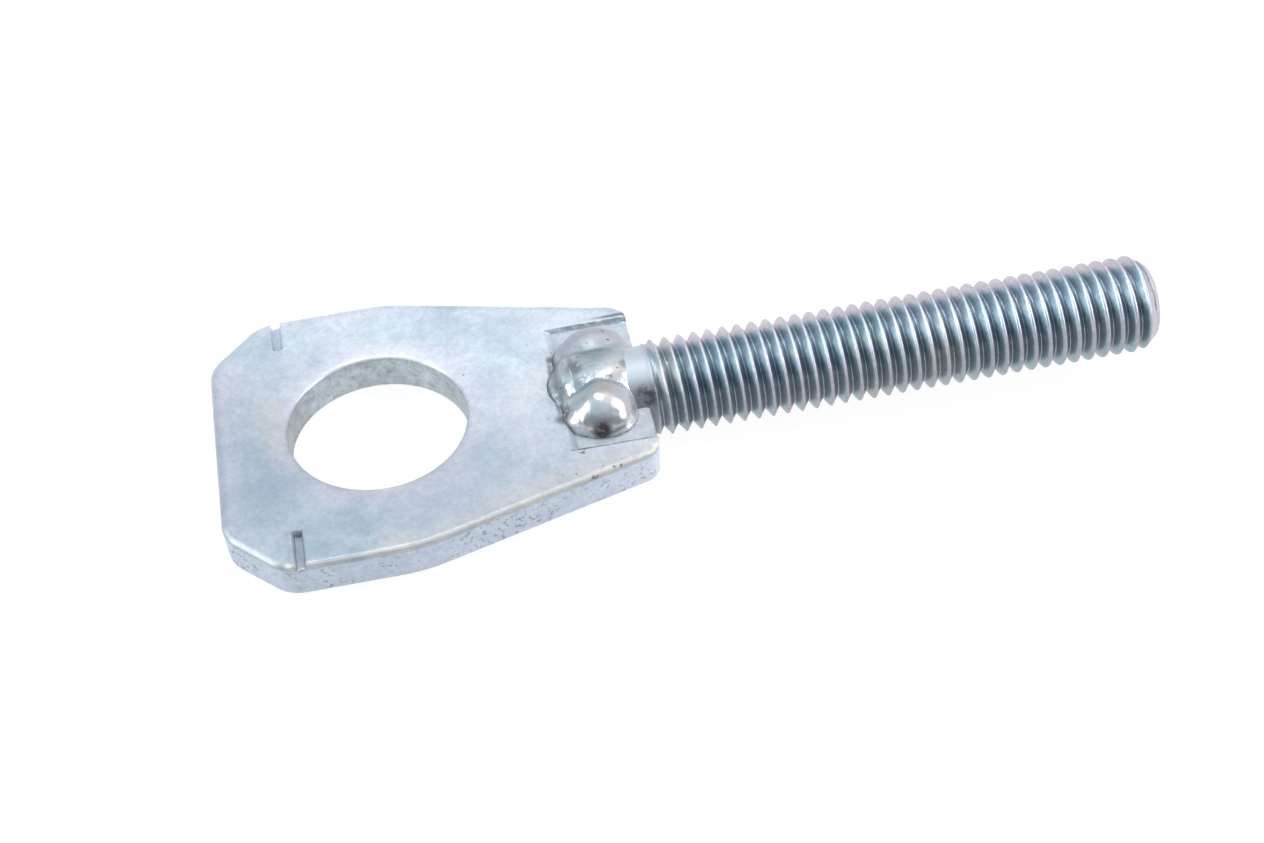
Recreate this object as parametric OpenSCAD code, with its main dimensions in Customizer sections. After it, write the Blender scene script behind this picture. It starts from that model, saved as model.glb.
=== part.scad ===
// Welded chain adjuster for a motorcycle's rear axle.
// A stamped plate goes over the axle, and a threaded stud is welded into its narrow end.
// The origin is the centre of the axle hole, halfway through the plate.
// The stud points along +X, and the face with the alignment notches looks up.

/* [Plate] */
// Width across the two parallel edges
plate_w = 35; // [33:0.5:38]
// Thickness of the sheet
plate_t = 4; // [3.2:0.1:5]
// From the centre of the axle hole to the squared end
head_l = 16.5; // [15:0.1:19]
// Size of the 45 degree cuts at the squared end
corner_cut = 5.6; // [4:0.1:7]
// Rounding where the cuts meet the edges
corner_r = 4; // [1:0.5:5]
// From the centre of the axle hole to the narrow end
tail_l = 27.1; // [26:0.1:32]
// Width of the narrow end
tail_w = 21.2; // [20:0.1:25]
// Rounding of the narrow end's corners
tail_r = 2.2; // [1:0.1:3]
// Radius that the punch rolls onto the edges of the marked face
edge_roll = 1; // [0.4:0.1:1.4]

/* [Axle hole] */
// Diameter of the axle hole
hole_d = 18.2; // [15:0.1:21]
// Radius of the rolled rim of the hole on the marked face
hole_roll = 0.4; // [0.2:0.1:0.6]

/* [Alignment notches] */
// From the centre of the axle hole back to the notches
notch_back = 9.2; // [6:0.1:10]
// Width of each notch at the marked face
notch_w = 1; // [0.6:0.1:1.6]
// How far each notch runs in from the edge
notch_l = 4.6; // [3:0.1:6]
// Depth of each notch
notch_depth = 0.75; // [0.4:0.05:1]

/* [Seat for the stud] */
// Length of the sunken seat, from the narrow end
seat_l = 8.8; // [7.5:0.1:10]
// Width of the seat
seat_w = 17.6; // [16:0.1:19]
// Depth of the seat below the marked face
seat_depth = 0.6; // [0.3:0.1:1]
// How far the stud reaches into the slot in the narrow end
grip_l = 7.5; // [6:0.1:8.5]
// Clearance between the stud and the slot, on each side
slot_gap = 0.1; // [0.05:0.05:0.3]

/* [Stud] */
// Diameter over the thread crests
thread_d = 9.95; // [9.4:0.05:10.5]
// Pitch of the thread
thread_pitch = 1.5; // [1.25:0.05:1.75]
// Length of the thread with its end bevel
thread_l = 51.6; // [40:0.1:60]
// Diameter of the plain shank
shank_d = 9.03; // [8.6:0.01:9.3]
// Plain neck between the plate and the thread
neck_l = 1.1; // [0.5:0.1:4]
// How far the stud's axis lies below the middle of the sheet
stud_drop = 0.25; // [0:0.05:0.6]
// Diameter of the flat end of the stud
tip_d = 7.6; // [7:0.1:8]

/* [Weld] */
// Radius of the two beads beside the stud on the marked face
bead_r = 3.6; // [3:0.1:4]
// How far the beads' centres lie inside the stud's side
bead_bite = 0.5; // [0.2:0.1:0.9]
// From the narrow end to the beads' centres
bead_back = 4.6; // [4:0.1:5]
// Radius of the fillet across the stud's inner end
toe_r = 2.4; // [2:0.1:2.8]
// How far the fillet reaches past the stud's inner end
toe_reach = 1.8; // [1:0.1:2]
// Radius of the two beads on the underside
under_r = 2.6; // [2.2:0.1:2.7]
// Radius of the fillet on the underside
under_toe = 1.9; // [1.5:0.1:2.2]

/* [Hidden] */

top_z = plate_t / 2;
floor_z = top_z - seat_depth;
// The roll and the rounded corners meet the walls at a slight angle
roll_out = 0.04 * edge_roll;
corner_swell = 1.0005;
corner_reach = 1.2;
eye_r = plate_w / 2;
// Each tapered side runs from a corner of the narrow end to touch the circle of the eye
taper_n = acos(eye_r / norm([tail_l, tail_w / 2])) + atan2(tail_w / 2, tail_l);
shoulder_a = (90 + taper_n) / 2;
shoulder_t = (90 - taper_n) / 2;
shoulder = [cos(shoulder_a), sin(shoulder_a)] * eye_r / cos(shoulder_t);
reach = 2 * (tail_l + plate_w);
// Stud along X
stud_x = tail_l - grip_l;
thread_x = tail_l + neck_l;
stud_end = thread_x + thread_l;
crest_r = thread_d / 2;
shank_r = shank_d / 2;
tip_r = tip_d / 2;
tip_len = (crest_r - tip_r) * 1.2;
shank_bevel = 0.3;
// ISO metric thread form, with the root truncated to a flat
flank = tan(30);
thread_depth = 0.6134 * thread_pitch;
crest_flat = thread_pitch / 8;
groove_top = (thread_pitch - crest_flat) / 2;
groove_root = groove_top - thread_depth * flank;
over = 0.2;
steps = 24;
// The groove fades in over its first turn and runs out past the tip
runin = steps;
turns = ceil((thread_l + thread_pitch) / thread_pitch);
n = steps * turns;
// Beads
bead_x = tail_l - bead_back;
bead_y = shank_r - bead_bite;
slab = 4 * plate_t;

// What a rounding of radius r takes off the corner at p, between edges turned by t to either side of direction a
module corner_off(p, a, t, r) {
  d = r / cos(t);
  translate(p) rotate(a) translate([-d, 0]) difference() {
    scale(corner_reach) polygon([[0, 0], [r * cos(t), r * sin(t)], [d, 0], [r * cos(t), -r * sin(t)]]);
    circle(r * corner_swell, $fn = 180);
  }
}

// Outline of the blank, seen from above
module outline() {
  difference() {
    polygon([
      [-head_l, eye_r - corner_cut], [corner_cut - head_l, eye_r], shoulder, [tail_l, tail_w / 2],
      [tail_l, -tail_w / 2], [shoulder.x, -shoulder.y],
      [corner_cut - head_l, -eye_r], [-head_l, corner_cut - eye_r]
    ]);
    for (s = [1, -1]) {
      corner_off([-head_l, s * (eye_r - corner_cut)], 180 - s * 22.5, 22.5, corner_r);
      corner_off([corner_cut - head_l, s * eye_r], s * 112.5, 22.5, corner_r);
      corner_off([shoulder.x, s * shoulder.y], s * shoulder_a, shoulder_t, eye_r);
      corner_off([tail_l, s * tail_w / 2], s * taper_n / 2, taper_n / 2, tail_r);
    }
  }
}

// A slab with one side, just past distance d in direction a, rolled over at the marked face
module rolled_side(a, d) {
  r = edge_roll;
  rotate([0, 0, a]) rotate([90, 0, 0]) linear_extrude(height = reach, center = true)
    translate([d + roll_out - r, top_z - r]) difference() {
      translate([r - reach, r - 1.5 * plate_t]) square([reach, 1.5 * plate_t]);
      difference() {
        square(r);
        circle(r, $fn = 64);
      }
    }
}

module blank() {
  cut_d = (head_l + eye_r - corner_cut) / sqrt(2);
  intersection() {
    translate([0, 0, -top_z]) linear_extrude(height = plate_t) outline();
    rolled_side(180, head_l);
    rolled_side(0, tail_l);
    rolled_side(90, eye_r);
    rolled_side(-90, eye_r);
    rolled_side(135, cut_d);
    rolled_side(-135, cut_d);
    rolled_side(taper_n, eye_r);
    rolled_side(-taper_n, eye_r);
  }
}

// Axle hole, with its rolled rim
module hole_cut() {
  r = hole_d / 2;
  rotate_extrude($fn = 180) difference() {
    translate([0, -plate_t]) square([r + hole_roll, plate_t + top_z]);
    translate([r, -2 * plate_t]) square([hole_roll * 2, 2 * plate_t + top_z - hole_roll]);
    translate([r + hole_roll, top_z - hole_roll]) circle(hole_roll, $fn = 48);
  }
}

// A notch struck into the edge, narrower at its bottom
module notch_cut() {
  translate([-notch_back, eye_r - notch_l, top_z]) rotate([-90, 0, 0])
    linear_extrude(height = notch_l + 1)
      polygon([
        [-notch_w / 2, 0], [-notch_w / 4, notch_depth], [notch_w / 4, notch_depth],
        [notch_w / 2, 0], [notch_w / 2, -1], [-notch_w / 2, -1]
      ]);
}

module seat_box() {
  translate([tail_l - seat_l, -seat_w / 2, floor_z]) cube([seat_l + plate_t, seat_w, slab]);
}

module axle_plate() {
  color([0.78, 0.8, 0.84]) difference() {
    blank();
    hole_cut();
    notch_cut();
    mirror([0, 1, 0]) notch_cut();
    seat_box();
    // Slot that takes the stud
    translate([stud_x - slot_gap, -shank_r - slot_gap, -plate_t])
      cube([grip_l + plate_t, shank_d + 2 * slot_gap, 2 * plate_t]);
  }
}

// Moves what is drawn along Z to the stud's axis
module on_stud() {
  translate([0, 0, -stud_drop]) rotate([0, 90, 0]) children();
}

// One point of the groove at step i, at radius r and dx along the axis
function groove_point(i, r, dx) = let (a = 360 * i / steps)
  [r * cos(a), r * sin(a), thread_x + i / steps * thread_pitch + dx];
// The groove deepens over its first turn
function groove_floor(i) = crest_r - thread_depth * min(1, i / runin);

module groove() {
  w = groove_top + over * flank;
  pts = [for (i = [0:n]) each [
    groove_point(i, groove_floor(i), -groove_root),
    groove_point(i, groove_floor(i), groove_root),
    groove_point(i, crest_r + over, w),
    groove_point(i, crest_r + over, -w)
  ]];
  sides = [for (i = [0:n - 1]) for (k = [0:3]) let (j = (k + 1) % 4) each [
    [4 * i + k, 4 * i + 4 + j, 4 * i + j],
    [4 * i + k, 4 * i + 4 + k, 4 * i + 4 + j]
  ]];
  polyhedron(
    points = pts,
    faces = concat([[0, 1, 2, 3]], sides, [[4 * n + 3, 4 * n + 2, 4 * n + 1, 4 * n]]),
    convexity = 20
  );
}

module threaded_stud() {
  color([0.62, 0.68, 0.72]) on_stud() difference() {
    rotate_extrude($fn = 96) polygon([
      [0, stud_x], [shank_r - shank_bevel, stud_x], [shank_r, stud_x + shank_bevel],
      [shank_r, thread_x], [crest_r, thread_x + (crest_r - shank_r)],
      [crest_r, stud_end - tip_len], [tip_r, stud_end], [0, stud_end]
    ]);
    groove();
  }
}

// Room that the stud's shank fills
module shank_room() {
  on_stud() translate([0, 0, stud_x]) cylinder(r = shank_r, h = grip_l + neck_l, $fn = 96);
}

// A weld that runs along both sides of the stud and across its inner end, at height z
module weld_run(z, r, toe) {
  toe_x = stud_x - toe_reach + toe;
  for (s = [1, -1]) {
    translate([bead_x, s * bead_y, z]) sphere(r, $fn = 64);
    translate([toe_x, s * bead_y, z]) sphere(toe, $fn = 64);
  }
  translate([toe_x, 0, z]) rotate([90, 0, 0])
    cylinder(r = toe, h = 2 * bead_y, center = true, $fn = 64);
}

module weld_top() {
  color([0.86, 0.87, 0.88]) difference() {
    union() weld_run(floor_z, bead_r, toe_r);
    difference() {
      translate([0, -plate_w, top_z - slab]) cube([2 * tail_l, 2 * plate_w, slab]);
      seat_box();
    }
    shank_room();
  }
}

module weld_under() {
  color([0.82, 0.83, 0.85]) difference() {
    union() weld_run(-top_z, under_r, under_toe);
    translate([0, -plate_w, -top_z]) cube([2 * tail_l, 2 * plate_w, slab]);
    shank_room();
  }
}

axle_plate();
threaded_stud();
weld_top();
weld_under();
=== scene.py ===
"""A zinc-plated chain adjuster: a stamped plate with an axle hole, welded to a threaded stud.

Shapes are worked out in millimetres, in the frame of the part's source, and MM turns them into metres.
"""

import math

import bmesh
import bpy
import numpy as np
from mathutils import Matrix, Quaternion, Vector


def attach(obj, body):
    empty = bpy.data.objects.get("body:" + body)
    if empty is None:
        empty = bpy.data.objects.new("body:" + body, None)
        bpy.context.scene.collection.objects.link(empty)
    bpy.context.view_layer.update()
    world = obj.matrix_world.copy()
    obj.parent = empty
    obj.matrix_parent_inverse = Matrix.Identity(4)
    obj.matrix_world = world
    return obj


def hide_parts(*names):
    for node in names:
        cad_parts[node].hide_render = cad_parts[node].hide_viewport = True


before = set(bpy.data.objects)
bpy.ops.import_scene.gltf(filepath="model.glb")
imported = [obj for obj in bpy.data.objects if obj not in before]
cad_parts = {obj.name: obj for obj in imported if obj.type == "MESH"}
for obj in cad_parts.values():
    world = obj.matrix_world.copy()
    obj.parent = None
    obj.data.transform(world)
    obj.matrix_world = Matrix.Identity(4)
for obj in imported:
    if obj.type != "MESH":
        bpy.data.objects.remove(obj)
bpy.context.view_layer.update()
MM = 0.001
TURN = 2 * math.pi

# Plate, as the part's source has it
PLATE_W = 35.0
TOP_Z = 2.0
HEAD_L = 16.5
CORNER_CUT = 5.6
CORNER_R = 4.0
TAIL_L = 27.1
TAIL_W = 21.2
TAIL_R = 2.2
HOLE_R = 9.1
NOTCH_X = -9.2
NOTCH_W = 1.0
NOTCH_L = 4.6
NOTCH_DEPTH = 0.75
SEAT_X = TAIL_L - 8.8
SEAT_HALF = 8.8
SEAT_DEPTH = 0.6

# What the tools left on the marked face
SEAT_RUN_IN = 0.9
SEAT_WALL = 0.09
SEAT_WOBBLE = 0.05
SEAT_BURR = 0.008
SEAT_BURR_OFF = 0.30
SEAT_BURR_WIDTH = 0.22
NOTCH_WALL = 0.15
NOTCH_BURR = 0.03
NOTCH_BURR_OFF = 0.75
NOTCH_BURR_WIDTH = 0.2
DRAWN_IN_DEPTH = 0.10
DRAWN_IN_WIDTH = 2.1
SHEET_LUMPS = 0.018
SHEET_RIPPLES = 0.006

# Depth and width of the rolled edge, and what the near cut corner, the near side and the narrow end add
ROLL = np.array([0.55, 1.0])
ROLL_CUT = np.array([0.15, 0.35])
ROLL_NEAR = np.array([-0.33, -0.55])
ROLL_END = np.array([-0.3, -0.5])
ROLL_WOBBLE = 0.10

# Plate's mesh. The face's rows stand closer where the seat's inner end and the notches cross them
PLATE_COLUMNS = 680
OUTLINE_SAMPLES = 6000
ARC_POINTS = 40
CLOSER_AT_NOTCH = 5.0
CLOSER_AT_NARROW_END = 2.6
HOLE_WALL_Z = np.linspace(-1.75, 1.30, 13)
HOLE_WALL_TORN = 0.015
HOLE_WALL_ROUGH = 0.022
HOLE_WALL_WIDER = 0.03
HOLE_ARC = 9
RIM_R = 0.40
RIM_ANGLES = np.radians([15, 32, 50, 68, 82])
FACE_GAP_IN = 0.12
FACE_GAP_OUT = 0.02
FACE_STEPS = np.concatenate([
    np.linspace(0, 0.40, 16)[:-1],
    np.linspace(0.40, 0.60, 30)[:-1],
    np.linspace(0.60, 1, 36),
])
ROLL_ANGLES = np.radians([14, 28, 42, 55, 67, 78, 88])
SIDE_STEPS = np.linspace(0.03, 1, 15)
SIDE_GAP_HIGH = 0.06
SIDE_GAP_LOW = 0.12
SIDE_ROUGH = 0.030
SIDE_INSET = 0.035
SIDE_DRAG = 0.05
UNDER_STEPS = np.linspace(0.02, 1, 18)
UNDER_INSETS = (0.10, 0.20, 0.30)
UNDER_BEVEL = 0.03
UNDER_RIM = 0.10
UNDER_RIM_OUT = 0.25

# Stud
STUD_Z = -0.25
CREST_R = 4.975
SHANK_R = 4.515
PITCH = 1.5
THREAD_DEPTH = 0.92
THREAD_X = 27.3
CREST_X = 28.62
SKYLINE = math.radians(-44.3)
STUD_X = 19.6
STUD_END = 79.8
TIP_R = 3.8
TIP_LEN = (CREST_R - TIP_R) * 1.2
BEVEL_X = STUD_END - TIP_LEN

# Thread's form, in pitches from a crest and in shares of its depth
SHOULDER = 0.11
SHOULDER_GAIN = 0.06
ROOT_AT = 0.47
CREST_DROP = 0.20
RUN_OUT = 0.9
CREST_WEAR = 0.012

# Stud's mesh
STUD_COLUMNS = 128
SHANK_RINGS = 12
TIP_RINGS = 14
TIP_STEP = 0.03
INNER_END_RADII = (2.0, SHANK_R - 0.3)
TIP_END_SHARES = (0.97, 0.7, 0.35, 0.08)
HELIX_STEPS = np.array([
    0, 0.06, 0.12, 0.18, 0.24, 0.31, 0.38, 0.44, 0.48, 0.52, 0.56, 0.62, 0.69, 0.76, 0.82, 0.88, 0.94,
])
TURNS_BELOW = 3
JOIN_WITHIN = 0.001

# Welds' meshes
WELD_COLUMNS = 300
WELD_ROWS = 110
WELD_LIFTS = np.radians(np.linspace(2, 89.6, WELD_ROWS))
WELD_REACH = 12.0
WELD_TRIES = 60
WELD_STRIDE = 0.7

# Seeds of the patterns in the shapes
SEED_ROLL = 3
SEED_SHEET = 11
SEED_SHEET_FINE = 12
SEED_SEAT = 21
SEED_TORN = 31
SEED_HOLE_WALL = 32
SEED_SIDE_WALL = 41
SEED_CRESTS = 51
SEED_WELD_TOP = 61
SEED_WELD_UNDER = 71

# Photograph's camera, from the fit of the outline, the hole and the thread
LENS = 61.62
SENSOR = 36.0
PHOTO_W = 1264
PHOTO_H = 843
CENTRE_PX = (518.23, 435.58)
CAMERA_AT = (5.919, -155.029, 155.470)
VIEW_DIR = (0.03584, 0.69737, -0.71582)
VIEW_UP = (0.17448, 0.70091, 0.69158)
CLIP_START = 0.005


# Shape helpers

def smooth(t):
    """0 below 0, 1 above 1, and a smooth step between."""
    t = np.clip(t, 0.0, 1.0)
    return t * t * (3 - 2 * t)


def ridge(offset, width):
    """A bell-shaped ridge, 1 high where the offset is 0."""
    return np.exp(-(offset / width) ** 2)


def waves(x, y, size, seed, octaves=3):
    """A seeded smooth pattern between about -1 and 1, with lumps of the given size."""
    per_octave = 7
    spread = 0.45
    gen = np.random.default_rng(seed)
    total = np.zeros(np.broadcast(x, y).shape)
    weight = 0.0
    for octave in range(octaves):
        for _ in range(per_octave):
            angle = gen.uniform(0, TURN)
            phase = gen.uniform(0, TURN)
            k = TURN / size * 2 ** octave * gen.uniform(0.6, 1.3)
            total += 0.5 ** octave * np.sin(k * (x * math.cos(angle) + y * math.sin(angle)) + phase)
        weight += 0.5 ** octave * per_octave
    return total / (spread * weight)


def ring_quads(rings, cols, first=0, closed=False):
    """Quads between neighbouring rings, from the ring numbered first on, and back to it if closed."""
    r = np.arange(rings if closed else rings - 1)
    rr, cc = np.meshgrid(r, np.arange(cols), indexing="ij")
    rn = (rr + 1) % rings
    cn = (cc + 1) % cols
    quads = np.stack([rr * cols + cc, rr * cols + cn, rn * cols + cn, rn * cols + cc], axis=-1)
    return (quads.reshape(-1, 4) + first * cols).tolist()


def mesh_object(name, points, faces):
    """A new object in the scene, from points in millimetres and faces."""
    mesh = bpy.data.meshes.new(name)
    mesh.from_pydata((np.reshape(points, (-1, 3)) * MM).tolist(), [], faces)
    mesh.update()
    obj = bpy.data.objects.new(name, mesh)
    bpy.context.scene.collection.objects.link(obj)
    return obj


def dress(obj, node, material, sharp=35):
    """Makes a mesh stand for a CAD node, shaded smooth up to an angle in degrees."""
    obj.data.materials.append(material)
    obj.data.shade_smooth()
    obj.data.set_sharp_from_angle(angle=math.radians(sharp))
    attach(obj, "root")
    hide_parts(node)


# Plate

def taper_angle():
    """Angle of the long edges' outward normals from +X, in radians."""
    return math.acos(PLATE_W / 2 / math.hypot(TAIL_L, TAIL_W / 2)) + math.atan2(TAIL_W / 2, TAIL_L)


def outline_points():
    """The plate's outline as dense points and the angles of their outward normals, counter-clockwise."""
    eye_r = PLATE_W / 2
    taper = math.degrees(taper_angle())
    half = math.radians((90 - taper) / 2)
    bisector = math.radians((90 + taper) / 2)
    shoulder_x, shoulder_y = np.array([math.cos(bisector), math.sin(bisector)]) * eye_r / math.cos(half)
    # Each corner before it is rounded, the angles its normal turns between, and its radius
    corners = [
        ((TAIL_L, -TAIL_W / 2), -taper, 0, TAIL_R),
        ((TAIL_L, TAIL_W / 2), 0, taper, TAIL_R),
        ((shoulder_x, shoulder_y), taper, 90, eye_r),
        ((CORNER_CUT - HEAD_L, eye_r), 90, 135, CORNER_R),
        ((-HEAD_L, eye_r - CORNER_CUT), 135, 180, CORNER_R),
        ((-HEAD_L, CORNER_CUT - eye_r), 180, 225, CORNER_R),
        ((CORNER_CUT - HEAD_L, -eye_r), 225, 270, CORNER_R),
        ((shoulder_x, -shoulder_y), 270, 360 - taper, eye_r),
    ]
    points, normals = [], []
    for (x, y), start, stop, r in corners:
        turn = math.radians(stop - start) / 2
        mid = math.radians(start + stop) / 2
        centre_x = x - math.cos(mid) * r / math.cos(turn)
        centre_y = y - math.sin(mid) * r / math.cos(turn)
        for angle in np.radians(np.linspace(start, stop, ARC_POINTS)):
            points.append((centre_x + r * math.cos(angle), centre_y + r * math.sin(angle)))
            normals.append(angle)
    return np.array(points), np.unwrap(np.array(normals))


def outline_density(x, y):
    """How close the columns stand: closer at the notches and round the narrow end."""
    at_notch = (np.abs(x - NOTCH_X) < 3.2) & (np.abs(y) > 14)
    at_narrow_end = (x > 20) & (np.abs(y) > 5.5)
    return 1.0 + CLOSER_AT_NOTCH * at_notch + CLOSER_AT_NARROW_END * at_narrow_end


def outline_at(columns):
    """Points of the outline and the angles of their normals, one for each column."""
    points, normals = outline_points()
    points = np.vstack([points, points[:1]])
    normals = np.append(normals, normals[0] + TURN)
    length = np.concatenate([[0], np.cumsum(np.hypot(*np.diff(points, axis=0).T))])
    fine = np.linspace(0, length[-1], OUTLINE_SAMPLES)
    density = outline_density(*[np.interp(fine, length, axis) for axis in points.T])
    total = np.concatenate([[0], np.cumsum((density[1:] + density[:-1]) / 2 * np.diff(fine))])
    place = np.interp(np.linspace(0, total[-1], columns, endpoint=False), total, fine)
    edge = np.stack([np.interp(place, length, axis) for axis in points.T], axis=-1)
    return edge, np.interp(place, length, normals)


def roll_size(x, y, normal):
    """How far the punch rolled the marked face over at points of the outline: depth and width."""
    cut = smooth((np.cos(normal - math.radians(225)) - 0.80) / 0.15)
    near = smooth((-np.sin(normal) - 0.55) / 0.3) * (1 - cut)
    end = smooth((np.cos(normal) - 0.8) / 0.15)
    size = ROLL[:, None] + np.outer(ROLL_CUT, cut) + np.outer(ROLL_NEAR, near) + np.outer(ROLL_END, end)
    return size * (1 + ROLL_WOBBLE * waves(x, y, size=5.0, seed=SEED_ROLL))


def seat_relief(x, y):
    """The sunken seat, which fades in at its inner end, and the metal thrown up beside it."""
    wobble = SEAT_WOBBLE * waves(x * 0.5, y * 0.1, size=2.6, seed=SEED_SEAT)
    inside = np.minimum((x - SEAT_X - 0.1) / SEAT_RUN_IN, (SEAT_HALF + wobble - np.abs(y)) / SEAT_WALL)
    burr = ridge(np.abs(y) - SEAT_HALF - SEAT_BURR_OFF, SEAT_BURR_WIDTH) * smooth((x - SEAT_X) / 0.4)
    return SEAT_BURR * burr - SEAT_DEPTH * smooth(inside)


def notch_relief(x, y, side):
    """One notch, and the low burrs along it."""
    along = (side * y - (PLATE_W / 2 - NOTCH_L)) / 0.14
    across = (NOTCH_W / 2 + 0.02 - np.abs(x - NOTCH_X)) / NOTCH_WALL
    burr = ridge(np.abs(x - NOTCH_X) - NOTCH_BURR_OFF, NOTCH_BURR_WIDTH) * smooth(along)
    return NOTCH_BURR * burr - NOTCH_DEPTH * smooth(np.minimum(along, across))


def top_relief(x, y):
    """Height of the marked face over the flat, away from its rolled edges."""
    lumps = SHEET_LUMPS * waves(x, y, size=9.0, seed=SEED_SHEET)
    ripples = SHEET_RIPPLES * waves(x, y, size=2.2, seed=SEED_SHEET_FINE)
    drawn_in = DRAWN_IN_DEPTH * np.clip(1 - (np.hypot(x, y) - HOLE_R) / DRAWN_IN_WIDTH, 0, 1) ** 2
    pressed = seat_relief(x, y) + notch_relief(x, y, 1) + notch_relief(x, y, -1)
    return lumps + ripples - drawn_in + pressed


def plan_ring(xy, z):
    """A ring of points from their places in plan, and one height or one for each."""
    return np.column_stack([xy, np.broadcast_to(z, len(xy))])


def hole_wall_rings(angle, ring):
    """The hole's wall, smooth and a little wider below, rough above."""
    # About the length of the arc, so that the patterns keep their size round the hole
    around = angle * HOLE_ARC
    torn = HOLE_WALL_TORN * waves(around, angle * 0, size=3.0, seed=SEED_TORN)
    rings = []
    for z in HOLE_WALL_Z:
        rough = HOLE_WALL_ROUGH * waves(around, angle * 0 + z * 3, size=0.8, seed=SEED_HOLE_WALL)
        share = smooth((z + 0.35) / 0.25)
        grow = HOLE_WALL_WIDER * (1 - share) + rough * share + torn
        rings.append(plan_ring(ring * (HOLE_R + grow)[:, None], z))
    return rings


def hole_rim_rings(ring):
    """The rounding at the top of the hole's wall."""
    rings = []
    for angle in RIM_ANGLES:
        xy = ring * (HOLE_R + RIM_R * (1 - math.cos(angle)))
        rings.append(plan_ring(xy, TOP_Z - RIM_R * (1 - math.sin(angle)) + top_relief(*xy.T)))
    return rings


def face_rings(start, stop):
    """The marked face, from the hole's rim out to where its edge rolls over."""
    rings = []
    for step in FACE_STEPS:
        xy = start + (stop - start) * step
        rings.append(plan_ring(xy, TOP_Z + top_relief(*xy.T)))
    return rings


def rolled_rings(edge, out, depth, width):
    """The rolled edge of the marked face."""
    rings = []
    for angle in ROLL_ANGLES:
        xy = edge - out * (width * (1 - math.sin(angle)))[:, None]
        rings.append(plan_ring(xy, TOP_Z - depth * (1 - math.cos(angle)) + top_relief(*xy.T)))
    return rings


def side_rings(edge, out, depth):
    """The side wall: smooth just under the face, torn below that, and drawn in towards the underside."""
    length = np.cumsum(np.hypot(*np.diff(edge, axis=0, append=edge[:1]).T))
    high = TOP_Z - depth - SIDE_GAP_HIGH + np.minimum(top_relief(*edge.T), 0.0)
    low = SIDE_GAP_LOW - TOP_Z
    rings = []
    for step in SIDE_STEPS:
        z = high + (low - high) * step
        rough = SIDE_ROUGH * waves(length, z, size=1.1, seed=SEED_SIDE_WALL) * smooth((step - 0.1) / 0.2)
        drag = SIDE_DRAG * smooth((step - 0.55) / 0.3)
        rings.append(plan_ring(edge + out * (rough - SIDE_INSET - drag)[:, None], z))
    return rings


def underside_rings(edge, out, ring):
    """The lower edge, the flat underside and the lower rim of the hole."""
    bevel, flat, start = [edge - out * inset for inset in UNDER_INSETS]
    rings = [plan_ring(bevel, UNDER_BEVEL - TOP_Z), plan_ring(flat, -TOP_Z)]
    stop = ring * (HOLE_R + UNDER_RIM_OUT)
    for step in UNDER_STEPS:
        rings.append(plan_ring(start + (stop - start) * step, -TOP_Z))
    rings.append(plan_ring(ring * (HOLE_R + UNDER_RIM), UNDER_BEVEL - TOP_Z))
    return rings


def make_plate(material):
    """The plate as closed rings: up the hole, over the marked face, down the side and back underneath."""
    edge, normal = outline_at(PLATE_COLUMNS)
    out = np.stack([np.cos(normal), np.sin(normal)], axis=-1)
    depth, width = roll_size(edge[:, 0], edge[:, 1], normal)
    angle = np.arctan2(edge[:, 1], edge[:, 0])
    ring = np.stack([np.cos(angle), np.sin(angle)], axis=-1)
    rings = hole_wall_rings(angle, ring) + hole_rim_rings(ring)
    rings += face_rings(ring * (HOLE_R + RIM_R + FACE_GAP_IN), edge - out * (width + FACE_GAP_OUT)[:, None])
    rings += rolled_rings(edge, out, depth, width)
    rings += side_rings(edge, out, depth)
    rings += underside_rings(edge, out, ring)
    # In reverse, so that the faces look outwards
    obj = mesh_object("plate_blank", rings[::-1], ring_quads(len(rings), PLATE_COLUMNS, closed=True))
    dress(obj, "axle_plate", material)


# Stud

def thread_profile(t, shoulder):
    """Depth of the thread, from 0 to 1, at t pitches from a crest that is round out to its shoulder."""
    t = np.abs((t + 0.5) % 1.0 - 0.5)
    crest = CREST_DROP * (t / shoulder) ** 2
    flank = CREST_DROP + (1 - CREST_DROP) * np.clip((t - shoulder) / (ROOT_AT - shoulder), 0, 1)
    return np.where(t < shoulder, crest, flank)


def thread_radius(x, theta):
    """Radius of the stud at x, and at the angle theta from +Z towards -Y, for a right-hand thread."""
    phase = (x - CREST_X) / PITCH - (theta - SKYLINE) / TURN
    cut = smooth((x - THREAD_X) / (RUN_OUT * PITCH))
    # The crests are fuller towards the tip
    shoulder = SHOULDER + SHOULDER_GAIN * np.clip((x - THREAD_X) / (STUD_END - THREAD_X), 0, 1)
    depth = THREAD_DEPTH * thread_profile(phase, shoulder)
    pattern = waves(x / 3 + 2 * np.cos(theta), 2 * np.sin(theta), size=2.5, seed=SEED_CRESTS, octaves=1)
    wear = CREST_WEAR * np.maximum(0, 1 + pattern)
    return CREST_R - np.maximum(depth * cut, (1 - cut) * (CREST_R - SHANK_R)) - wear


def stud_ring(x, r, theta):
    """Points round the stud's axis at x and at the angles theta, from +Z towards -Y."""
    return np.stack([np.broadcast_to(x, r.shape), -r * np.sin(theta), STUD_Z + r * np.cos(theta)], axis=-1)


def shank_rings(theta):
    """The inner end, with its edge broken, and the plain shank."""
    rings = [stud_ring(STUD_X, np.full(len(theta), r), theta) for r in INNER_END_RADII]
    for x in np.linspace(STUD_X + 0.3, THREAD_X, SHANK_RINGS):
        rings.append(stud_ring(x, thread_radius(x, theta), theta))
    return np.array(rings)


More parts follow.
